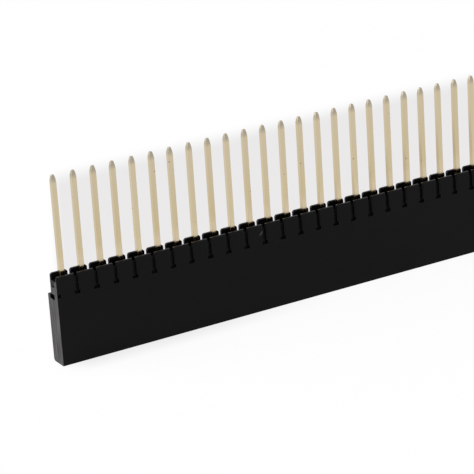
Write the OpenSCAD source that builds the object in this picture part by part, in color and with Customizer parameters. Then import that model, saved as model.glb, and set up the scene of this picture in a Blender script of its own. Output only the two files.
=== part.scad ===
// Stack-through socket strip: one row of sockets in a tall housing, with long square pins on top.
// X runs along the row, -Y is the front, and +Z points from the mating face to the pin tips.
// The origin is the centre of the mating face. Sizes are in millimetres.

/* [Row] */
// Number of contacts
positions = 40; // [2:1:40]
// Distance from one contact to the next
pitch = 2.54; // [2.5:0.01:2.6]
// Plastic beyond half a pitch at each end of the strip
end_extra = 0.1; // [0.05:0.01:0.25]

/* [Housing] */
// Height from the mating face to the ledge along the back
body_h = 8.5; // [8:0.1:9.5]
// Height of the comb above the ledge
comb_h = 2.5; // [2.3:0.1:3.5]
// Depth from the front face to the back face
body_d = 2.5; // [2.4:0.05:2.7]
// Thickness of the front wall in front of the pockets
front_wall = 0.65; // [0.6:0.05:0.7]
// Thickness of the comb's tabs along the front
front_tab = 0.4; // [0.3:0.05:0.5]
// Thickness of the tab behind each pocket
rear_tab = 0.35; // [0.25:0.05:0.4]
// Thickness of the wall at each side of a pocket
side_wall = 0.35; // [0.25:0.05:0.4]
// Gap between neighbouring rear tabs
tab_gap = 0.35; // [0.3:0.05:0.7]
// How far the tabs stand above the side walls of the pockets
tab_h = 0.8; // [0.5:0.05:1]
// Radius at the top corners of each rear tab
corner_r = 0.3; // [0.2:0.05:0.5]

/* [Slots] */
// Width of the shallow recess between two front tabs
recess_w = 0.75; // [0.6:0.05:1]
// Depth of that recess
recess_d = 0.06; // [0.04:0.02:0.16]
// Width of the slot in the middle of the recess
slot_w = 0.45; // [0.2:0.05:0.55]
// Height of the wider foot of each slot
foot_h = 0.4; // [0.3:0.05:0.8]
// Depth of the channel in front of the ledge
channel_h = 1; // [0.6:0.1:1.2]
// Depth of the notch where the channel meets each end of the strip
notch_h = 0.45; // [0.2:0.05:0.5]

/* [Contacts] */
// Side of the square pin
pin_w = 0.6; // [0.5:0.02:0.66]
// Length of pin above the housing
pin_l = 11.95; // [5:0.05:15]
// Length of the tapered tip
tip_l = 0.9; // [0.4:0.05:1.5]
// Width left at the end of the tip
tip_w = 0.3; // [0.15:0.05:0.4]
// Width of one spring beam
beam_w = 0.26; // [0.2:0.02:0.28]
// Gap where the two beams grip a mating pin
pinch_gap = 0.4; // [0.3:0.05:0.5]

/* [Hidden] */

eps = 0.01;                            // cutters pass this far through a face
row_l = positions * pitch + 2 * end_extra;
comb_top = body_h + comb_h;
wall_top = comb_top - tab_h;           // side walls of the pockets
sill_z = wall_top + front_wall - front_tab;  // from here the front wall slopes at 45 degrees
web_top = wall_top - 0.6;              // webs that join neighbouring pockets
front_y = -body_d / 2;
pocket_front = front_y + front_wall;
pocket_back = -pocket_front;           // pockets are centred on the pins
tooth_w = pitch - tab_gap;
pocket_w = tooth_w - 2 * side_wall;
web_back = pocket_back - 0.22;         // webs stop short of the rear tabs
ledge_y = pocket_back + 0.08;          // front of the ledge, which the rear tabs overlap
channel_y = pocket_front + 0.1;        // front of the channel
channel_z = body_h - channel_h;
channel_over = 0.2;                    // how far the channel reaches above the ledge
long_edge_r = 0.35;                    // rounded lower edge at the back
edge_break = 0.08;                     // flat on each of the other long edges
end_edge = 0.08;                       // the last front tab thins to this at the end of the strip
end_slope = 0.3;                       // width of the slope that thins it

socket_w = 1.22;                       // chamber round the spring beams
seat_z = 6.6;                          // step that stops the contact's shoulders
floor_z = 1;                           // thickness of the mating end
entry_w = 0.9;                         // square hole for a mating pin
lead_w = 1.5;                          // entry at the mating face
lead_h = 0.45;                         // depth of the sloping lead-in

shoulder_h = 1.3;                      // shoulders that sit on that step
barb_w = 0.12;                         // depth of the notch that makes a barb in each side
fork_root_z = 6.1;
pinch_z = 2.3;
fork_tip_z = 1.2;
mate_w = 0.64;                         // side of a mating pin
root_gap = mate_w + 0.02;              // room for it between the beams
flare = 0.22;                          // how far the beam ends open beyond the pinch

// Half of the pin's tapered end, from the tip down: it bulges slightly half way.
tip_profile = [[tip_w / 2, comb_top + pin_l], [pin_w / 2 - 0.05, comb_top + pin_l - tip_l / 2],
    [pin_w / 2, comb_top + pin_l - tip_l]];

function contact_name(i) = str("contact_", i < 10 ? "0" : "", i);
function contact_x(i) = (i - (positions + 1) / 2) * pitch;
function arc(c, r, from, to, steps = 4) =
    [for (k = [0:steps]) let (a = from + (to - from) * k / steps) c + r * [cos(a), sin(a)]];
// Two points that cut a corner; inward gives the signs of the way into the solid.
function broken_edge(corner, inward) = let (
    a = corner + [inward.x * edge_break, 0], b = corner + [0, inward.y * edge_break]
) inward.x * inward.y > 0 ? [a, b] : [b, a];
function mirrored(points) = [for (k = [len(points) - 1:-1:0]) [-points[k].x, points[k].y]];

// A shape drawn in the YZ plane, run along X and centred.
module along_x(length) {
    translate([-length / 2, 0, 0]) rotate([90, 0, 90]) linear_extrude(length) children();
}

// A shape drawn in the XZ plane, run along Y from y0.
module along_y(y0, length) {
    translate([0, y0 + length, 0]) rotate([90, 0, 0]) linear_extrude(length) children();
}

// A box centred in X that spans the given Y and Z ranges.
module block(width, y, z) {
    translate([-width / 2, y[0], z[0]]) cube([width, y[1] - y[0], z[1] - z[0]]);
}

// Section through the housing between two pockets, from the rounded lower edge to the front tab.
module section() {
    polygon(concat(
        broken_edge([front_y, 0], [1, 1]),
        broken_edge([front_y, comb_top], [1, -1]),
        [[front_y + front_tab, comb_top], [front_y + front_tab, sill_z],
            [pocket_front, wall_top], [pocket_front, web_top], [web_back, web_top],
            [web_back, body_h], [ledge_y, body_h]],
        broken_edge([-front_y, body_h], [-1, -1]),
        arc([-front_y - long_edge_r, long_edge_r], long_edge_r, 0, -90)
    ));
}

// Outline of one rear tab, with both top corners rounded.
module rear_tab_outline() {
    right = arc([tooth_w / 2 - corner_r, comb_top - corner_r], corner_r, 0, 90);
    polygon(concat([[tooth_w / 2, channel_z - eps]], right, mirrored(right),
        [[-tooth_w / 2, channel_z - eps]]));
}

// Side walls and rear tab round one pocket, still solid.
module tooth() {
    block(tooth_w, [pocket_front, pocket_back + eps], [channel_z - eps, wall_top]);
    along_y(pocket_back, rear_tab) rear_tab_outline();
}

// Square opening for a mating pin, narrowing inwards from the mating face.
module lead_in() {
    half = lead_w / 2;
    neck = entry_w / 2;
    grow = eps * (half - neck) / lead_h;
    sides = [[-half - grow, -eps], [half + grow, -eps], [neck, lead_h], [neck, floor_z + eps],
        [-neck, floor_z + eps], [-neck, lead_h]];
    intersection() {
        along_y(-lead_w, 2 * lead_w) polygon(sides);
        along_x(2 * lead_w) polygon(sides);
    }
}

// Everything hollow round one contact, from the lead-in up through the pocket.
module chamber() {
    lead_in();
    block(socket_w, [pocket_front, pocket_back], [floor_z, seat_z + eps]);
    block(pocket_w, [pocket_front, pocket_back], [seat_z, comb_top + eps]);
}

// Recess between two front tabs, the slot in its middle, and the slot's wider foot.
module front_slot() {
    back = front_y + front_tab;
    block(recess_w, [front_y - eps, front_y + recess_d], [body_h, comb_top + eps]);
    block(slot_w, [front_y - eps, back], [body_h, sill_z + eps]);
    block(slot_w, [front_y - eps, back + eps], [sill_z, comb_top + eps]);
    block(recess_w, [front_y - eps, back], [body_h, body_h + foot_h]);
}

// What the left end of the strip loses: a slope behind the last front tab, and half a foot.
module end_cut() {
    back = front_y + front_tab;
    translate([0, 0, sill_z]) linear_extrude(comb_top - sill_z + eps)
        polygon([[-eps, front_y + end_edge], [end_slope, back + eps], [-eps, back + eps]]);
    translate([end_extra, front_y - eps, body_h])
        cube([recess_w / 2, front_tab + eps, foot_h]);
}

// One black moulding carries all the contacts.
module housing() {
    color([0.05, 0.05, 0.055]) difference() {
        union() {
            along_x(row_l) section();
            for (i = [1:positions]) translate([contact_x(i), 0, 0]) tooth();
        }
        for (i = [1:positions]) translate([contact_x(i), 0, 0]) chamber();
        for (i = [1:positions - 1]) translate([contact_x(i) + pitch / 2, 0, 0]) front_slot();
        for (side = [0, 1]) mirror([side, 0, 0]) translate([-row_l / 2, 0, 0]) end_cut();
        block(positions * pitch, [channel_y, ledge_y], [channel_z, body_h + channel_over]);
        block(row_l + 1, [channel_y, ledge_y], [body_h - notch_h, body_h + channel_over]);
    }
}

// Right half of a contact seen from the front, from the pin tip to the middle of the fork.
function contact_half() = concat(
    tip_profile,
    [[pin_w / 2, seat_z + shoulder_h], [pocket_w / 2, seat_z + shoulder_h],
     [pocket_w / 2 - barb_w, seat_z + shoulder_h / 2], [pocket_w / 2, seat_z + shoulder_h / 2],
     [pocket_w / 2, seat_z], [root_gap / 2 + beam_w, seat_z],
     [root_gap / 2 + beam_w, fork_root_z - root_gap],
     [pinch_gap / 2 + beam_w, pinch_z], [pinch_gap / 2 + flare + beam_w / 2, fork_tip_z],
     [pinch_gap / 2 + flare, fork_tip_z], [pinch_gap / 2, pinch_z]],
    arc([0, fork_root_z - root_gap / 2], root_gap / 2, 0, 90, 2)
);

// One contact, stamped from a sheet as thick as its pin: pin, barbed shoulders and spring fork.
module contact() {
    half = contact_half();
    color([0.8, 0.72, 0.52]) intersection() {
        along_y(-pin_w / 2, pin_w) polygon(concat(half, mirrored(half)));
        along_x(pocket_w + 2 * eps) polygon(concat(tip_profile, [[pin_w / 2, 0], [-pin_w / 2, 0]],
            mirrored(tip_profile)));
    }
}

housing();
for (i = [1:positions])
    translate([contact_x(i), 0, 0]) contact();
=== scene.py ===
import math
import bmesh
import bpy
from mathutils import Matrix, Vector


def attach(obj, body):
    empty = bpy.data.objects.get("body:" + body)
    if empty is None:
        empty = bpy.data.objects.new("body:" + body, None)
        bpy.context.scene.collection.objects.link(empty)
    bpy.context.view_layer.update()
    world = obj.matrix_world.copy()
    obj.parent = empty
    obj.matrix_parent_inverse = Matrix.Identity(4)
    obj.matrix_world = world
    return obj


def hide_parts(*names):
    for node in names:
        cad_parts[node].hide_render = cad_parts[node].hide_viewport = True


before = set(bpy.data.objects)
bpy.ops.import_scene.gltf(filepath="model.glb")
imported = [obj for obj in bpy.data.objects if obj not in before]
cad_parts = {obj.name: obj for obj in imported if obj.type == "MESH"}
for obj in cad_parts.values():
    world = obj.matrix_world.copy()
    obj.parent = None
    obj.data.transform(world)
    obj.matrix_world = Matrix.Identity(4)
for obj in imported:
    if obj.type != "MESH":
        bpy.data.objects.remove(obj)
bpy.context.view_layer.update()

scene = bpy.context.scene
metresPerMm = 0.001

# The row itself. Both pieces are drawn in millimetres and turned to metres at the end.
row = {
    "positions": 40,
    "pitch": 2.54,
    "endExtra": 0.1,          # plastic beyond half a pitch at each end
}


def meshOf(name, bm):
    bmesh.ops.recalc_face_normals(bm, faces=bm.faces)
    for face in bm.faces:
        face.smooth = True
    mesh = bpy.data.meshes.new(name)
    bm.to_mesh(mesh)
    bm.free()
    return mesh


def newObject(name, data):
    obj = bpy.data.objects.new(name, data)
    scene.collection.objects.link(obj)
    return obj


def removeObjects(objects):
    for obj in objects:
        mesh = obj.data
        bpy.data.objects.remove(obj)
        bpy.data.meshes.remove(mesh)


def addPrism(bm, outline, span, axis):
    # outline runs in the two other axes, in their XYZ order
    place = {
        "x": lambda s, u, v: (s, u, v),
        "y": lambda s, u, v: (u, s, v),
        "z": lambda s, u, v: (u, v, s),
    }[axis]
    low, high = [[bm.verts.new(place(s, u, v)) for u, v in outline] for s in span]
    bm.faces.new(low)
    bm.faces.new(high)
    for i in range(len(outline)):
        j = (i + 1) % len(outline)
        bm.faces.new((low[i], low[j], high[j], high[i]))


def prism(name, outline, span, axis):
    bm = bmesh.new()
    addPrism(bm, outline, span, axis)
    return newObject(name, meshOf(name, bm))


def rectangle(u, v):
    return [(u[0], v[0]), (u[1], v[0]), (u[1], v[1]), (u[0], v[1])]


def arc(centre, radius, start, end, steps):
    angles = [math.radians(start + (end - start) * k / steps) for k in range(steps + 1)]
    return [(centre[0] + radius * math.cos(a), centre[1] + radius * math.sin(a)) for a in angles]


def ringStack(name, rings):
    # square tube closed at both ends: each ring is half width, half depth, height
    bm = bmesh.new()
    loops = [[bm.verts.new((x * w, y * d, z)) for x, y in ((-1, -1), (1, -1), (1, 1), (-1, 1))]
             for w, d, z in rings]
    bm.faces.new(loops[0])
    bm.faces.new(loops[-1])
    for a, b in zip(loops, loops[1:]):
        for i in range(4):
            j = (i + 1) % 4
            bm.faces.new((a[i], a[j], b[j], b[i]))
    return newObject(name, meshOf(name, bm))


def newTree(name, kind, inputs, outputs):
    # an input is a label and a socket type, with a default where it needs one
    tree = bpy.data.node_groups.new(name, kind)
    for label, socketType, *default in inputs:
        socket = tree.interface.new_socket(name=label, in_out="INPUT", socket_type=socketType)
        if default:
            socket.default_value = default[0]
    for label, socketType in outputs:
        tree.interface.new_socket(name=label, in_out="OUTPUT", socket_type=socketType)
    return tree


def emptyTree(owner):
    owner.use_nodes = True
    owner.node_tree.nodes.clear()
    return owner.node_tree


def addNode(tree, kind, inputs=None, **settings):
    # an input is given a value, a socket to link, or a list of sockets where it takes several
    node = tree.nodes.new(kind)
    node.location = (190 * (len(tree.nodes) % 9), -230 * (len(tree.nodes) // 9))
    for key, value in settings.items():
        setattr(node, key, value)
    for key, value in (inputs or {}).items():
        for one in value if isinstance(value, list) else [value]:
            if isinstance(one, bpy.types.NodeSocket):
                tree.links.new(one, node.inputs[key])
            else:
                node.inputs[key].default_value = one
    return node


def maths(tree, operation, a, b=0.0, c=0.0, clamp=False):
    node = addNode(tree, "ShaderNodeMath", {0: a, 1: b, 2: c}, operation=operation, use_clamp=clamp)
    return node.outputs[0]


def ramp(tree, value, low, high):
    # 0 below low and 1 above high, or the other way round when low is the larger
    node = addNode(tree, "ShaderNodeMapRange",
                   {"Value": value, "From Min": low, "From Max": high}, interpolation_type="SMOOTHSTEP")
    return node.outputs["Result"]


def setTreeInputs(modifier, values):
    for item in modifier.node_group.interface.items_tree:
        if item.item_type == "SOCKET" and item.in_out == "INPUT" and item.name in values:
            modifier[item.identifier] = values[item.name]


def soften(obj, width, fromAngle):
    # rounds the edges where the surface turns by more than fromAngle degrees
    soft = obj.modifiers.new("softEdges", "BEVEL")
    soft.width = width
    soft.segments = 2
    soft.limit_method = "ANGLE"
    soft.angle_limit = math.radians(fromAngle)
    soft.use_clamp_overlap = False
    soft.harden_normals = True
    return soft


def finishedMesh(obj, name, body, replaced):
    depsgraph = bpy.context.evaluated_depsgraph_get()
    mesh = bpy.data.meshes.new_from_object(obj.evaluated_get(depsgraph), depsgraph=depsgraph)
    mesh.transform(Matrix.Scale(metresPerMm, 4))
    mesh.name = name
    piece = newObject(name, mesh)
    removeObjects([obj])
    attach(piece, body)
    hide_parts(*replaced)
    print(name, "has", sum(len(p.vertices) - 2 for p in mesh.polygons), "triangles")
    return piece


camera = {
    "place": (-0.158592, -0.235827, 0.107247),
    "azimuth": 29.344,        # degrees the view turns from +Y towards +X
    "elevation": 19.810,
    "roll": -3.804,
    "lens": 181.9,
    "sensorWidth": 36,
    "clip": (0.01, 20),
}


def placeCamera():
    data = bpy.data.cameras.new("camera")
    data.sensor_width = camera["sensorWidth"]
    data.lens = camera["lens"]
    data.clip_start, data.clip_end = camera["clip"]
    obj = newObject("camera", data)
    turn = (Matrix.Rotation(math.radians(-camera["azimuth"]), 4, "Z")
            @ Matrix.Rotation(math.radians(90 - camera["elevation"]), 4, "X")
            @ Matrix.Rotation(math.radians(camera["roll"]), 4, "Z"))
    obj.matrix_world = Matrix.Translation(camera["place"]) @ turn
    scene.camera = obj


placeCamera()
print("camera placed")


def grainGroup():
    # fine cloudy grain, height 0 to 1; Position is in millimetres
    tree = newTree("fineGrain", "ShaderNodeTree",
                   [("Position", "NodeSocketVector"), ("Per mm", "NodeSocketFloat", 10.0),
                    ("Pits", "NodeSocketFloat", 0.3)],
                   [("Height", "NodeSocketFloat")])
    start = addNode(tree, "NodeGroupInput")
    cloud = addNode(tree, "ShaderNodeTexNoise",
                    {"Vector": start.outputs["Position"], "Scale": start.outputs["Per mm"],
                     "Detail": 4.0, "Roughness": 0.6})
    pits = addNode(tree, "ShaderNodeTexVoronoi",
                   {"Vector": start.outputs["Position"], "Scale": start.outputs["Per mm"]})
    pitDepth = maths(tree, "MULTIPLY", pits.outputs["Distance"], start.outputs["Pits"])
    height = maths(tree, "SUBTRACT", cloud.outputs["Fac"], pitDepth, clamp=True)
    addNode(tree, "NodeGroupOutput", {"Height": height})
    return tree


def linesGroup():
    # fine lines along one direction: Stretch shrinks the pattern less along the lines
    tree = newTree("fineLines", "ShaderNodeTree",
                   [("Position", "NodeSocketVector"),
                    ("Stretch", "NodeSocketVector", (20.0, 20.0, 0.5))],
                   [("Height", "NodeSocketFloat"), ("Streaks", "NodeSocketFloat")])
    start = addNode(tree, "NodeGroupInput")
    drawn = addNode(tree, "ShaderNodeVectorMath",
                    {0: start.outputs["Position"], 1: start.outputs["Stretch"]}, operation="MULTIPLY")
    lines = addNode(tree, "ShaderNodeTexNoise",
                    {"Vector": drawn.outputs[0], "Scale": 1.0, "Detail": 3.0, "Roughness": 0.55})
    broad = addNode(tree, "ShaderNodeTexNoise",
                    {"Vector": drawn.outputs[0], "Scale": 0.22, "Detail": 2.0, "Roughness": 0.5})
    streaks = addNode(tree, "ShaderNodeMapRange",
                      {"Value": broad.outputs["Fac"], "From Min": 0.35, "From Max": 0.7})
    addNode(tree, "NodeGroupOutput",
            {"Height": lines.outputs["Fac"], "Streaks": streaks.outputs["Result"]})
    return tree


def specksGroup():
    # scattered dust or dark specks, 1 on a speck: Size is the speck as a share of its cell, it is
    # full up to 0.4 of that, and the wobble keeps it from being round
    tree = newTree("specks", "ShaderNodeTree",
                   [("Position", "NodeSocketVector"), ("Per mm", "NodeSocketFloat", 1.2),
                    ("Size", "NodeSocketFloat", 0.07)],
                   [("Mask", "NodeSocketFloat")])
    start = addNode(tree, "NodeGroupInput")
    wobble = addNode(tree, "ShaderNodeTexNoise",
                     {"Vector": start.outputs["Position"], "Scale": 9.0, "Detail": 1.0})
    bent = addNode(tree, "ShaderNodeVectorMath",
                   {0: wobble.outputs["Color"], 1: (0.06, 0.06, 0.06), 2: start.outputs["Position"]},
                   operation="MULTIPLY_ADD")
    cells = addNode(tree, "ShaderNodeTexVoronoi",
                    {"Vector": bent.outputs[0], "Scale": start.outputs["Per mm"]})
    mask = addNode(tree, "ShaderNodeMapRange",
                   {"Value": cells.outputs["Distance"], "From Min": start.outputs["Size"],
                    "From Max": maths(tree, "MULTIPLY", start.outputs["Size"], 0.4)})
    addNode(tree, "NodeGroupOutput", {"Mask": mask.outputs["Result"]})
    return tree


groups = {"grain": grainGroup(), "lines": linesGroup(), "specks": specksGroup()}


def newMaterial(name):
    # object coordinates are in metres, and the patterns are given per millimetre
    material = bpy.data.materials.new(name)
    tree = emptyTree(material)
    coordinates = addNode(tree, "ShaderNodeTexCoord")
    inMm = addNode(tree, "ShaderNodeMapping",
                   {"Vector": coordinates.outputs["Object"], "Scale": (1 / metresPerMm,) * 3})
    return material, tree, inMm.outputs["Vector"]


def addGroup(tree, name, inputs):
    return addNode(tree, "ShaderNodeGroup", inputs, node_tree=groups[name])


# The Mix node has one set of sockets for each kind of data, so they are given by number.
def mixColour(tree, factor, a, b):
    node = addNode(tree, "ShaderNodeMix", {0: factor, 6: a, 7: b}, data_type="RGBA")
    return node.outputs[2]


def mixValue(tree, factor, a, b):
    node = addNode(tree, "ShaderNodeMix", {0: factor, 2: a, 3: b}, data_type="FLOAT")
    return node.outputs[0]


def colour(values):
    return (*values, 1.0)


housing = {
    "bodyHeight": 8.5,        # mating face to the ledge along the back
    "combHeight": 2.5,
    "depth": 2.5,
    "frontWall": 0.65,
    "frontTab": 0.4,
    "rearTab": 0.35,
    "sideWall": 0.35,
    "tabGap": 0.35,
    "tabHeight": 0.8,         # tabs above the side walls
    "webDrop": 0.6,           # webs below the side walls
    "webGap": 0.22,           # webs stop short of the rear tabs
    "ledgeGap": 0.08,         # from the pockets back to the ledge, which the rear tabs overlap
    "cornerRadius": 0.3,
    "recessWidth": 0.75,      # shallow recess between two front tabs
    "recessDepth": 0.06,
    "slotWidth": 0.45,        # slot in the middle of the recess
    "footHeight": 0.4,        # wider foot of each slot, as deep as the tabs are thick
    "channelDepth": 1.0,      # channel in front of the ledge, and the notch it leaves at each end
    "channelGap": 0.1,        # from the front of the pockets back to the channel
    "channelOver": 0.2,       # how far it reaches above the ledge
    "notchDepth": 0.45,
    "endSlope": 0.3,          # slope behind the last front tab, which thins it to endEdge
    "endEdge": 0.08,
    "socketWidth": 1.22,
    "seatHeight": 6.6,
    "floorThickness": 1.0,
    "entryWidth": 0.9,
    "leadWidth": 1.5,
    "leadDepth": 0.45,
    "lowerEdgeRadius": 0.35,
    "edgeBreak": 0.08,
    "softEdge": 0.03,         # moulded radius on the edges that turn by more than softFrom degrees
    "softFrom": 30,
    "ejectorMarks": 9,
    "ejectorSpacing": 10.16,
    "ejectorHeight": 4.1,
    "ejectorRadius": 0.55,
    "ejectorDepth": 0.03,
}


def sectionOutline(h, y, z):
    front, b = y["front"], h["edgeBreak"]
    r = h["lowerEdgeRadius"]
    return ([(front, b), (front + b, 0)]
            + arc((-front - r, r), r, -90, 0, 8)
            + [(-front, h["bodyHeight"] - b), (-front - b, h["bodyHeight"]),
               (y["ledge"], h["bodyHeight"]), (y["webBack"], h["bodyHeight"]),
               (y["webBack"], z["webTop"]), (y["pocketFront"], z["webTop"]),
               (y["pocketFront"], z["wallTop"]), (front + h["frontTab"], z["sill"]),
               (front + h["frontTab"], z["combTop"]), (front + b, z["combTop"]),
               (front, z["combTop"] - b)])


def rearTabOutline(h, z, half):
    r = h["cornerRadius"]
    return ([(-half, z["channel"]), (half, z["channel"])]
            + arc((half - r, z["combTop"] - r), r, 0, 90, 8)
            + arc((-half + r, z["combTop"] - r), r, 90, 180, 8))


def housingShapes(h):
    front = -h["depth"] / 2
    pocketFront = front + h["frontWall"]
    y = {"front": front, "pocketFront": pocketFront, "pocketBack": -pocketFront,
         "webBack": -pocketFront - h["webGap"], "ledge": -pocketFront + h["ledgeGap"],
         "channel": pocketFront + h["channelGap"]}
    combTop = h["bodyHeight"] + h["combHeight"]
    wallTop = combTop - h["tabHeight"]
    # behind the front tabs the wall slopes at 45 degrees, from the sill down to the side walls
    z = {"combTop": combTop, "wallTop": wallTop, "webTop": wallTop - h["webDrop"],
         "sill": wallTop + h["frontWall"] - h["frontTab"],
         "channel": h["bodyHeight"] - h["channelDepth"]}
    toothHalf = (row["pitch"] - h["tabGap"]) / 2
    endX = (row["positions"] * row["pitch"] + 2 * row["endExtra"]) / 2
    pitchX = endX - row["endExtra"]
    past = 0.01               # cutters reach this far through a face
    clear = 1                 # and this far where nothing is in their way
    above = combTop + clear
    inFront = front - past
    shapes = {}
    shapes["Body"] = prism("body", sectionOutline(h, y, z), (-endX, endX), "x")
    walls = rectangle((-toothHalf, toothHalf), (pocketFront - past, y["pocketBack"] + past))
    shapes["Pocket walls"] = prism("pocketWalls", walls, (z["channel"], wallTop), "z")
    tabSpan = (y["pocketBack"], y["pocketBack"] + h["rearTab"])
    shapes["Rear tab"] = prism("rearTab", rearTabOutline(h, z, toothHalf), tabSpan, "y")
    # lead-in, hole, chamber and pocket, from the mating face up
    lead, entry = h["leadWidth"] / 2, h["entryWidth"] / 2
    grow = (lead - entry) / h["leadDepth"] * past
    socket, floorTop, seat = h["socketWidth"] / 2, h["floorThickness"], h["seatHeight"]
    pocketHalf, pocketDepth = toothHalf - h["sideWall"], y["pocketBack"]
    shapes["Chamber"] = ringStack("chamber", [
        (lead + grow, lead + grow, -past), (entry, entry, h["leadDepth"]), (entry, entry, floorTop),
        (socket, pocketDepth, floorTop), (socket, pocketDepth, seat),
        (pocketHalf, pocketDepth, seat), (pocketHalf, pocketDepth, above)])
    half, ledgeTop = h["recessWidth"] / 2, h["bodyHeight"]
    recess, back = front + h["recessDepth"], front + h["frontTab"]
    recessSpan = (ledgeTop, above)
    shapes["Recess"] = prism("recess", rectangle((-half, half), (inFront, recess)), recessSpan, "z")
    slotSide = [(inFront, ledgeTop), (back, ledgeTop), (back, z["sill"]), (back + past, z["sill"]),
                (back + past, above), (inFront, above)]
    shapes["Slot"] = prism("slot", slotSide, (-h["slotWidth"] / 2, h["slotWidth"] / 2), "x")
    footSpan = (ledgeTop, ledgeTop + h["footHeight"])
    shapes["Slot foot"] = prism("slotFoot", rectangle((-half, half), (inFront, back)), footSpan, "z")
    # the strip's ends: slopes behind the last tabs, half feet and the channel's ends
    ends = bmesh.new()
    for side in (-1, 1):
        corners = [(endX + past, front + h["endEdge"]), (endX - h["endSlope"], back + past),
                   (endX + past, back + past)]
        addPrism(ends, [(side * a, b) for a, b in corners], (z["sill"], above), "z")
    shapes["End slopes"] = newObject("endSlopes", meshOf("endSlopes", ends))
    feet = bmesh.new()
    for a, b in ((-pitchX, -pitchX + half), (pitchX - half, pitchX)):
        addPrism(feet, rectangle((a, b), (inFront, back)), footSpan, "z")
    shapes["End feet"] = newObject("endFeet", meshOf("endFeet", feet))
    overLedge = ledgeTop + h["channelOver"]
    for label, name, bottom, reach in (
            ("Channel", "channel", z["channel"], pitchX),
            ("Notch", "notch", ledgeTop - h["notchDepth"], endX + clear)):
        side = rectangle((y["channel"], y["ledge"]), (bottom, overLedge))
        shapes[label] = prism(name, side, (-reach, reach), "x")
    circle = arc((0, h["ejectorHeight"]), h["ejectorRadius"], 0, 345, 23)  # 24 corners
    markSpan = (-front - h["ejectorDepth"], -front + clear)
    shapes["Ejector mark"] = prism("ejectorMark", circle, markSpan, "y")
    return shapes


def rowOfPoints(tree, count, spacing):
    steps = maths(tree, "SUBTRACT", count, 1.0)
    start = maths(tree, "MULTIPLY", maths(tree, "MULTIPLY", steps, spacing), -0.5)
    first = addNode(tree, "ShaderNodeCombineXYZ", {"X": start})
    step = addNode(tree, "ShaderNodeCombineXYZ", {"X": spacing})
    line = addNode(tree, "GeometryNodeMeshLine",
                   {"Count": count, "Start Location": first.outputs[0], "Offset": step.outputs[0]})
    return line.outputs["Mesh"]


def repeated(tree, points, objectSocket):
    shape = addNode(tree, "GeometryNodeObjectInfo", {"Object": objectSocket})
    placed = addNode(tree, "GeometryNodeInstanceOnPoints",
                     {"Points": points, "Instance": shape.outputs["Geometry"]})
    return addNode(tree, "GeometryNodeRealizeInstances", {0: placed.outputs[0]}).outputs[0]


def single(tree, objectSocket):
    return addNode(tree, "GeometryNodeObjectInfo", {"Object": objectSocket}).outputs["Geometry"]


def housingTree():
    betweenTabs = ["Recess", "Slot", "Slot foot"]
    onceOnly = ["End slopes", "End feet", "Channel", "Notch"]
    labels = ["Pocket walls", "Rear tab", "Chamber", *betweenTabs, *onceOnly, "Ejector mark"]
    tree = newTree("socketHousing", "GeometryNodeTree",
                   [("Body", "NodeSocketGeometry"),
                    ("Positions", "NodeSocketInt"), ("Pitch", "NodeSocketFloat"),
                    ("Ejector marks", "NodeSocketInt"), ("Ejector spacing", "NodeSocketFloat")]
                   + [(label, "NodeSocketObject") for label in labels]
                   + [("Plastic", "NodeSocketMaterial")],
                   [("Housing", "NodeSocketGeometry")])
    start = addNode(tree, "NodeGroupInput").outputs
    perContact = rowOfPoints(tree, start["Positions"], start["Pitch"])
    between = rowOfPoints(tree, maths(tree, "SUBTRACT", start["Positions"], 1.0), start["Pitch"])
    marks = rowOfPoints(tree, start["Ejector marks"], start["Ejector spacing"])
    solid = addNode(tree, "GeometryNodeMeshBoolean",
                    {"Mesh 2": [start["Body"], repeated(tree, perContact, start["Pocket walls"]),
                                repeated(tree, perContact, start["Rear tab"])]},
                    operation="UNION", solver="MANIFOLD")
    cutters = ([repeated(tree, perContact, start["Chamber"])]
               + [repeated(tree, between, start[label]) for label in betweenTabs]
               + [single(tree, start[label]) for label in onceOnly]
               + [repeated(tree, marks, start["Ejector mark"])])
    cut = solid.outputs[0]
    for cutter in cutters:
        cut = addNode(tree, "GeometryNodeMeshBoolean", {"Mesh 1": cut, "Mesh 2": cutter},
                      operation="DIFFERENCE", solver="MANIFOLD").outputs[0]
    real = addNode(tree, "GeometryNodeRealizeInstances", {0: cut})
    dressed = addNode(tree, "GeometryNodeSetMaterial",
                      {"Geometry": real.outputs[0], "Material": start["Plastic"]})
    addNode(tree, "NodeGroupOutput", {"Housing": dressed.outputs[0]})
    return tree


plastic = {
    "colour": (0.0045, 0.0045, 0.0047),
    "paleColour": (0.0062, 0.0062, 0.0063),
    "cloudsPerMm": 0.35,
    "edgeColour": (0.010, 0.010, 0.0105),
    "edgeShare": 0.7,
    "cutColour": (0.122, 0.117, 0.120),     # the sawn ends, with darker streaks
    "cutShadow": (0.036, 0.034, 0.035),
    "cutStretch": (20.0, 16.0, 1.2),
    "cutRelief": 2.5,         # depth of the saw's lines beside the grain
    "dustColour": (0.06, 0.058, 0.054),
    "dustShare": 0.5,
    "dustPerMm": 0.9,
    "dustSize": 0.035,
    "roughness": 0.42,
    "roughnessSpread": 0.16,
    "edgeRoughness": 0.30,
    "cutRoughness": 0.55,
    "ior": 1.17,
    "grainPerMm": 11.0,
    "grainPits": 0.35,
    "grainHeight": 0.000004,
    "scuffPlace": (-23.3, 10.0),            # a rub mark on one of the front tabs
    "scuffSize": (0.55, 0.16),
    "scuffTurn": 38,
    "scuffColour": (0.075, 0.073, 0.070),
    "scuffGrainPerMm": 7.0,
    "scuffGrain": 0.9,                      # how far the grain breaks up its rim
    "scuffFade": (1.4, 0.5),                # squared distances, with grain, where it is clear and full
    "scuffDepth": (-1.1, -1.2),             # it stays on the front face
}


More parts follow.
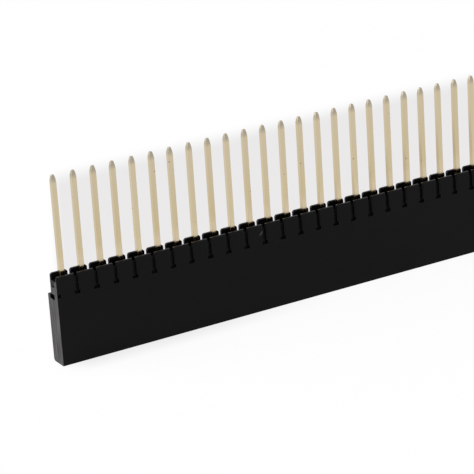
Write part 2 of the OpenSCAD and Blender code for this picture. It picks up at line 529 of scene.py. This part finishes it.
def scuffMask(tree, place, p):
    # soft streak in the plane of the front face, broken up by fine grain
    x, z = p["scuffPlace"]
    turned = addNode(tree, "ShaderNodeVectorRotate",
                     {"Vector": place, "Center": (x, 0, z), "Angle": math.radians(p["scuffTurn"])},
                     rotation_type="Y_AXIS")
    axes = addNode(tree, "ShaderNodeSeparateXYZ", {"Vector": turned.outputs[0]}).outputs
    along = maths(tree, "DIVIDE", maths(tree, "SUBTRACT", axes["X"], x), p["scuffSize"][0])
    across = maths(tree, "DIVIDE", maths(tree, "SUBTRACT", axes["Z"], z), p["scuffSize"][1])
    reach = maths(tree, "ADD", maths(tree, "POWER", maths(tree, "ABSOLUTE", along), 2.0),
                  maths(tree, "POWER", maths(tree, "ABSOLUTE", across), 2.0))
    broken = addNode(tree, "ShaderNodeTexNoise",
                     {"Vector": place, "Scale": p["scuffGrainPerMm"], "Detail": 3.0})
    ragged = maths(tree, "MULTIPLY_ADD", broken.outputs["Fac"], p["scuffGrain"], reach)
    soft = ramp(tree, ragged, *p["scuffFade"])
    depth = addNode(tree, "ShaderNodeSeparateXYZ", {"Vector": place}).outputs["Y"]
    return maths(tree, "MULTIPLY", soft, ramp(tree, depth, *p["scuffDepth"]))


def blackPlastic(p):
    material, tree, place = newMaterial("blackPlastic")
    grain = addGroup(tree, "grain",
                     {"Position": place, "Per mm": p["grainPerMm"], "Pits": p["grainPits"]})
    specks = addGroup(tree, "specks",
                      {"Position": place, "Per mm": p["dustPerMm"], "Size": p["dustSize"]})
    sawn = addGroup(tree, "lines", {"Position": place, "Stretch": p["cutStretch"]})
    edges = addNode(tree, "ShaderNodeAttribute", attribute_name="edge").outputs["Fac"]
    cutEnds = addNode(tree, "ShaderNodeAttribute", attribute_name="cutEnd").outputs["Fac"]
    clouds = addNode(tree, "ShaderNodeTexNoise",
                     {"Vector": place, "Scale": p["cloudsPerMm"], "Detail": 3.0})
    tone = mixColour(tree, clouds.outputs["Fac"], colour(p["colour"]), colour(p["paleColour"]))
    edgeTone = maths(tree, "MULTIPLY", edges, p["edgeShare"])
    tone = mixColour(tree, edgeTone, tone, colour(p["edgeColour"]))
    cutTone = mixColour(tree, sawn.outputs["Streaks"], colour(p["cutShadow"]), colour(p["cutColour"]))
    tone = mixColour(tree, cutEnds, tone, cutTone)
    dust = maths(tree, "MULTIPLY", specks.outputs["Mask"], p["dustShare"])
    tone = mixColour(tree, dust, tone, colour(p["dustColour"]))
    tone = mixColour(tree, scuffMask(tree, place, p), tone, colour(p["scuffColour"]))
    rough = maths(tree, "MULTIPLY_ADD", grain.outputs["Height"], p["roughnessSpread"],
                  p["roughness"] - p["roughnessSpread"] / 2)
    rough = mixValue(tree, edges, rough, p["edgeRoughness"])
    rough = mixValue(tree, cutEnds, rough, p["cutRoughness"])
    height = mixValue(tree, cutEnds, grain.outputs["Height"],
                      maths(tree, "MULTIPLY", sawn.outputs["Height"], p["cutRelief"]))
    bump = addNode(tree, "ShaderNodeBump",
                   {"Height": height, "Distance": p["grainHeight"], "Strength": 1.0})
    shader = addNode(tree, "ShaderNodeBsdfPrincipled",
                     {"Base Color": tone, "Roughness": rough, "Normal": bump.outputs["Normal"],
                      "IOR": p["ior"]})
    addNode(tree, "ShaderNodeOutputMaterial", {"Surface": shader.outputs[0]})
    return material


def markFaces(mesh):
    # edge is 1 on the rounded edges, and cutEnd is 1 on the end faces, which lie within 0.04 mm
    # of the ends and look along the row
    endX = (row["positions"] * row["pitch"] / 2 + row["endExtra"]) * metresPerMm
    nearEnd = endX - 0.00004
    edge = mesh.attributes.new("edge", "FLOAT", "FACE")
    cutEnd = mesh.attributes.new("cutEnd", "FLOAT", "FACE")
    for face in mesh.polygons:
        edge.data[face.index].value = 1.0 if face.material_index == 1 else 0.0
        onEnd = abs(face.normal.x) > 0.9 and abs(face.center.x) > nearEnd
        cutEnd.data[face.index].value = 1.0 if onEnd else 0.0
        face.material_index = 0


def makeHousing(h):
    shapes = housingShapes(h)
    body = shapes.pop("Body")
    material = blackPlastic(plastic)
    edgeMarker = bpy.data.materials.new("edgeMarker")
    repeat = body.modifiers.new("repeat", "NODES")
    repeat.node_group = housingTree()
    setTreeInputs(repeat, {"Positions": row["positions"], "Pitch": row["pitch"],
                           "Ejector marks": h["ejectorMarks"], "Ejector spacing": h["ejectorSpacing"],
                           "Plastic": material, **shapes})
    flat = body.modifiers.new("flatFaces", "DECIMATE")
    flat.decimate_type = "DISSOLVE"
    flat.angle_limit = math.radians(1)
    soften(body, h["softEdge"], h["softFrom"]).material = 1
    body.data.materials.append(material)
    body.data.materials.append(edgeMarker)
    piece = finishedMesh(body, "mouldedHousing", "root", ["housing"])
    removeObjects(shapes.values())
    markFaces(piece.data)
    piece.data.materials.clear()
    piece.data.materials.append(material)
    bpy.data.materials.remove(edgeMarker)


makeHousing(housing)
print("housing made")


contact = {
    "pinWidth": 0.6,
    "matingPin": 0.64,
    "matingPlay": 0.01,       # room at each side of a mating pin, between the roots of the beams
    "top": 22.95,             # pin tips above the mating face
    "tipLength": 0.9,
    "tipWidth": 0.3,
    "tipSteps": 4,            # rings that round the taper
    "tipPower": 1.7,          # 1 would be a straight taper
    "beamWidth": 0.26,
    "pinchGap": 0.4,
    "shoulderHeight": 1.3,
    "barb": 0.12,
    "rootHeight": 6.1,
    "pinchHeight": 2.3,
    "tipHeight": 1.2,
    "flare": 0.22,
    "softEdge": 0.035,        # radius on the edges that turn by more than softFrom degrees
    "softFrom": 12,
    "lean": 0.12,             # largest lean of a pin, degrees
    "seed": 7,
}


def contactOutline(c):
    pin = c["pinWidth"] / 2
    wide = (row["pitch"] - housing["tabGap"]) / 2 - housing["sideWall"]
    seat = housing["seatHeight"]
    gap = c["matingPin"] / 2 + c["matingPlay"]
    beam = gap + c["beamWidth"]
    pinch = c["pinchGap"] / 2
    right = [
        (pin, c["top"]), (pin, seat + c["shoulderHeight"]), (wide, seat + c["shoulderHeight"]),
        (wide - c["barb"], seat + c["shoulderHeight"] / 2), (wide, seat + c["shoulderHeight"] / 2),
        (wide, seat), (beam, seat), (beam, c["rootHeight"] - 2 * gap),
        (pinch + c["beamWidth"], c["pinchHeight"]),
        (pinch + c["flare"] + c["beamWidth"] / 2, c["tipHeight"]), (pinch + c["flare"], c["tipHeight"]),
        (pinch, c["pinchHeight"]),
    ] + arc((0, c["rootHeight"] - gap), gap, 0, 90, 5)
    left = [(-x, z) for x, z in reversed(right[:-1])]
    return right + left


def contactMesh(c):
    # the square blank is cut into rings near its end, and each ring is drawn in towards the tip
    bm = bmesh.new()
    half = c["pinWidth"] / 2
    addPrism(bm, contactOutline(c), (-half, half), "y")
    start = c["top"] - c["tipLength"]
    for step in range(c["tipSteps"]):
        height = start + c["tipLength"] * step / c["tipSteps"]
        bmesh.ops.bisect_plane(bm, geom=bm.verts[:] + bm.edges[:] + bm.faces[:], dist=1e-5,
                               plane_co=(0, 0, height), plane_no=(0, 0, 1))
    for vert in bm.verts:
        along = max(0.0, (vert.co.z - start) / c["tipLength"])
        narrow = 1 - (1 - c["tipWidth"] / c["pinWidth"]) * along ** c["tipPower"]
        vert.co.x *= narrow
        vert.co.y *= narrow
    return meshOf("contact", bm)


def contactTree():
    tree = newTree("contactRow", "GeometryNodeTree",
                   [("Contact", "NodeSocketGeometry"), ("Positions", "NodeSocketInt"),
                    ("Pitch", "NodeSocketFloat"), ("Lean", "NodeSocketFloat"),
                    ("Seed", "NodeSocketInt"), ("Plating", "NodeSocketMaterial")],
                   [("Contacts", "NodeSocketGeometry")])
    start = addNode(tree, "NodeGroupInput").outputs
    points = rowOfPoints(tree, start["Positions"], start["Pitch"])
    least = maths(tree, "MULTIPLY", start["Lean"], -1.0)
    low = addNode(tree, "ShaderNodeCombineXYZ", {"X": least, "Y": least})
    high = addNode(tree, "ShaderNodeCombineXYZ", {"X": start["Lean"], "Y": start["Lean"]})
    lean = addNode(tree, "FunctionNodeRandomValue",
                   {"Min": low.outputs[0], "Max": high.outputs[0], "Seed": start["Seed"]},
                   data_type="FLOAT_VECTOR")
    placed = addNode(tree, "GeometryNodeInstanceOnPoints",
                     {"Points": points, "Instance": start["Contact"],
                      "Rotation": lean.outputs["Value"]})
    tone = addNode(tree, "FunctionNodeRandomValue", {"Seed": start["Seed"]}, data_type="FLOAT")
    toned = addNode(tree, "GeometryNodeStoreNamedAttribute",
                    {"Geometry": placed.outputs[0], "Name": "tone", "Value": tone.outputs[1]},
                    data_type="FLOAT", domain="INSTANCE")
    real = addNode(tree, "GeometryNodeRealizeInstances", {0: toned.outputs[0]})
    dressed = addNode(tree, "GeometryNodeSetMaterial",
                      {"Geometry": real.outputs[0], "Material": start["Plating"]})
    addNode(tree, "NodeGroupOutput", {"Contacts": dressed.outputs[0]})
    return tree


plating = {
    "colour": (0.560, 0.455, 0.270),
    "paleColour": (0.640, 0.545, 0.365),
    "speckColour": (0.10, 0.07, 0.05),
    "speckShare": 0.9,
    "specksPerMm": 0.75,
    "speckSize": 0.075,
    "roughness": 0.17,
    "roughnessSpread": 0.08,
    "tipRoughness": 0.32,
    "lineStretch": (26.0, 26.0, 0.7),
    "lineHeight": 0.0000010,
    "grainPerMm": 22.0,
    "grainPits": 0.2,
    "grainRelief": 0.35,      # height of the grain beside the lines
    # tones that come in along the pin, between two heights above the mating face
    "tones": {
        # thinner gold towards the tips
        "worn": {"colour": (0.610, 0.530, 0.390), "clear": 12.0, "full": 21.5, "share": 0.5},
        # paler gold just above the housing
        "bright": {"colour": (0.650, 0.545, 0.375), "clear": 13.6, "full": 12.1, "share": 0.8},
        # painted shade and reflection: the pin turns brown where it leaves its pocket, for the black
        # pocket it mirrors there
        "paintedPocketShade": {"colour": (0.20, 0.11, 0.035), "clear": 11.6, "full": 10.9, "share": 0.85},
        # painted reflection: the taper is darker and greyer, for the darker surroundings that its faces
        # reflect
        "tip": {"colour": (0.37, 0.33, 0.26), "clear": 21.8, "full": 22.6, "share": 0.85},
    },
}


def goldPlating(p):
    material, tree, place = newMaterial("goldPlating")
    lines = addGroup(tree, "lines", {"Position": place, "Stretch": p["lineStretch"]})
    grain = addGroup(tree, "grain",
                     {"Position": place, "Per mm": p["grainPerMm"], "Pits": p["grainPits"]})
    specks = addGroup(tree, "specks",
                      {"Position": place, "Per mm": p["specksPerMm"], "Size": p["speckSize"]})
    tone = addNode(tree, "ShaderNodeAttribute", attribute_name="tone").outputs["Fac"]
    height = addNode(tree, "ShaderNodeSeparateXYZ", {"Vector": place}).outputs["Z"]
    shade = maths(tree, "MULTIPLY", maths(tree, "ADD", tone, lines.outputs["Streaks"]), 0.5)
    gold = mixColour(tree, shade, colour(p["colour"]), colour(p["paleColour"]))
    masks = {name: ramp(tree, height, t["clear"], t["full"]) for name, t in p["tones"].items()}
    for name, t in p["tones"].items():
        gold = mixColour(tree, maths(tree, "MULTIPLY", masks[name], t["share"]), gold,
                         colour(t["colour"]))
    spots = maths(tree, "MULTIPLY", specks.outputs["Mask"], p["speckShare"])
    gold = mixColour(tree, spots, gold, colour(p["speckColour"]))
    rough = maths(tree, "MULTIPLY_ADD", lines.outputs["Streaks"], p["roughnessSpread"],
                  p["roughness"] - p["roughnessSpread"] / 2)
    rough = mixValue(tree, masks["tip"], rough, p["tipRoughness"])
    relief = maths(tree, "MULTIPLY_ADD", grain.outputs["Height"], p["grainRelief"],
                   lines.outputs["Height"])
    bump = addNode(tree, "ShaderNodeBump",
                   {"Height": relief, "Distance": p["lineHeight"], "Strength": 1.0})
    shader = addNode(tree, "ShaderNodeBsdfPrincipled",
                     {"Base Color": gold, "Metallic": 1.0, "Roughness": rough,
                      "Normal": bump.outputs["Normal"]})
    addNode(tree, "ShaderNodeOutputMaterial", {"Surface": shader.outputs[0]})
    return material


def makeContacts(c):
    master = newObject("contactMaster", contactMesh(c))
    soften(master, c["softEdge"], c["softFrom"])
    repeat = master.modifiers.new("repeat", "NODES")
    repeat.node_group = contactTree()
    setTreeInputs(repeat, {"Positions": row["positions"], "Pitch": row["pitch"],
                           "Lean": math.radians(c["lean"]), "Seed": c["seed"],
                           "Plating": goldPlating(plating)})
    names = [f"contact_{i:02d}" for i in range(1, row["positions"] + 1)]
    finishedMesh(master, "contacts", "root", names)


makeContacts(contact)
print("contacts made")


studio = {
    "floorColour": (0.92, 0.92, 0.92),
    "floorSize": 3,
    "floorDrop": 0.00002,     # the floor lies this far below the mating face
    "shadowDepth": 0.06,      # how much of the real shading the white floor keeps
    "world": 0.45,
    "lampTarget": (-0.01, 0, 0.01),
    "lamps": {
        "key": {"place": (-0.55, 0.42, 0.30), "size": 0.45, "power": 4.2},
        "top": {"place": (-0.05, 0.10, 0.80), "size": 0.50, "power": 2.2},
    },
    # shades painted on the floor: each fade is a direction, where the shade is clear and where
    # it is full, and a leaning edge runs shadeLean along X for each step along Y
    "shadeLean": 0.477,
    "shades": {
        "behindRow": {
            "colour": (0.82, 0.806, 0.807),
            "fades": [("Y", 0.0, 0.01), ("Y", 0.0673, 0.0583),
                      ("leaning", -0.0515, -0.049), ("leaning", 0.085, 0.055)],
        },
        "footOfNearEnd": {
            "colour": (0.875, 0.875, 0.885),
            "fades": [("Y", -0.0048, -0.0012), ("Y", 0.0, -0.001),
                      ("X", -0.0515, -0.047), ("X", -0.012, -0.036)],
        },
    },
}


def seenDirectly(tree):
    path = addNode(tree, "ShaderNodeLightPath").outputs
    seen = maths(tree, "MAXIMUM", path["Is Camera Ray"], path["Is Glossy Ray"])
    return maths(tree, "MAXIMUM", seen, path["Is Transmission Ray"])


def makeFloor(s):
    bm = bmesh.new()
    bmesh.ops.create_grid(bm, x_segments=1, y_segments=1, size=s["floorSize"])
    floor = newObject("floor", meshOf("floor", bm))
    floor.data.transform(Matrix.Translation((0, 0, -s["floorDrop"])))
    material = bpy.data.materials.new("paleFloor")
    tree = emptyTree(material)
    paper = addNode(tree, "ShaderNodeBsdfDiffuse", {"Color": colour(s["floorColour"])})
    place = addNode(tree, "ShaderNodeTexCoord").outputs["Object"]
    axes = addNode(tree, "ShaderNodeSeparateXYZ", {"Vector": place}).outputs
    directions = {"X": axes["X"], "Y": axes["Y"],
                  "leaning": maths(tree, "MULTIPLY_ADD", axes["Y"], -s["shadeLean"], axes["X"])}
    tone = colour((1, 1, 1))
    for shade in s["shades"].values():
        mask = 1.0
        for direction, clear, full in shade["fades"]:
            mask = maths(tree, "MULTIPLY", mask, ramp(tree, directions[direction], clear, full))
        tone = mixColour(tree, mask, tone, colour(shade["colour"]))
    white = addNode(tree, "ShaderNodeEmission", {"Color": tone, "Strength": 1.0})
    share = maths(tree, "MULTIPLY", seenDirectly(tree), 1 - s["shadowDepth"])
    mixed = addNode(tree, "ShaderNodeMixShader", {0: share, 1: paper.outputs[0], 2: white.outputs[0]})
    addNode(tree, "ShaderNodeOutputMaterial", {"Surface": mixed.outputs[0]})
    floor.data.materials.append(material)


def makeWorld(s):
    world = bpy.data.worlds.new("studio")
    tree = emptyTree(world)
    dim = addNode(tree, "ShaderNodeBackground", {"Color": colour((1, 1, 1)), "Strength": s["world"]})
    white = addNode(tree, "ShaderNodeBackground", {"Color": colour((1, 1, 1)), "Strength": 1.0})
    mixed = addNode(tree, "ShaderNodeMixShader",
                    {0: seenDirectly(tree), 1: dim.outputs[0], 2: white.outputs[0]})
    addNode(tree, "ShaderNodeOutputWorld", {"Surface": mixed.outputs[0]})
    scene.world = world


def softLight(name, lamp, target):
    data = bpy.data.lights.new(name, "AREA")
    data.shape = "SQUARE"
    data.size = lamp["size"]
    data.energy = lamp["power"]
    place = Vector(lamp["place"])
    aim = (Vector(target) - place).to_track_quat("-Z", "Y").to_matrix().to_4x4()
    newObject(name, data).matrix_world = Matrix.Translation(place) @ aim


makeFloor(studio)
makeWorld(studio)
for name, lamp in studio["lamps"].items():
    softLight(name, lamp, studio["lampTarget"])
scene.view_settings.view_transform = "Standard"
print("studio made")
